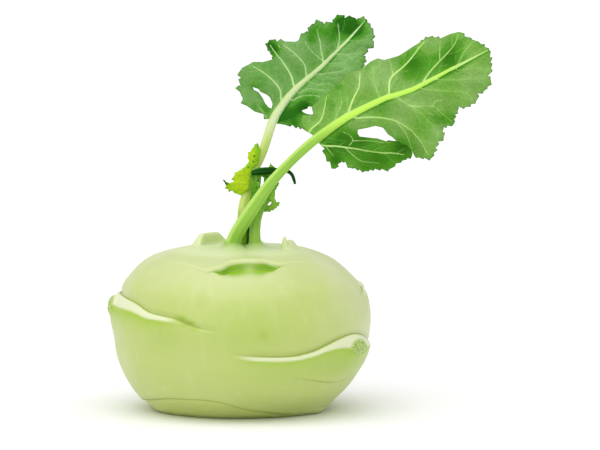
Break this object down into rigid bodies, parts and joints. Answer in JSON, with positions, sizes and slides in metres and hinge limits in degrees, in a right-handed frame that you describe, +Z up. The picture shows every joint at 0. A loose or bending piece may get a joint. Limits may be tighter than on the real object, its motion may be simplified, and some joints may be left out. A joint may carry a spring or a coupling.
{
  "type": "kohlrabi",
  "caption": "Kohlrabi: a squat green bulb with the scars of its cut leaves, standing on its trimmed root end, with toothed leaves left on their stalks and a curled young leaf.",
  "frame": {"origin": "middle of the flat cut face under the bulb, on the surface that it stands on", "axes": "+Z up, +X to the side that the leaves lean to, +Y to the back"},
  "size_m": [0.141, 0.1005, 0.1446],
  "materials": {
    "bulb_skin": "satin",
    "stalk_green": "satin",
    "stalk_pale": "satin",
    "blade_green": "satin",
    "leaflet_lime": "satin",
    "young_green": "satin",
    "rolled_green": "satin"
  },
  "bodies": {
    "root": {"bulb": "bulb_skin", "front_leaf_stalk": "stalk_green", "front_leaf_blade": "blade_green", "back_leaf_stalk": "stalk_pale", "back_leaf_blade": "blade_green", "back_leaf_wing": "leaflet_lime", "young_leaf": "young_green", "rolled_leaflet": "rolled_green"}
  },
  "joints": []
}
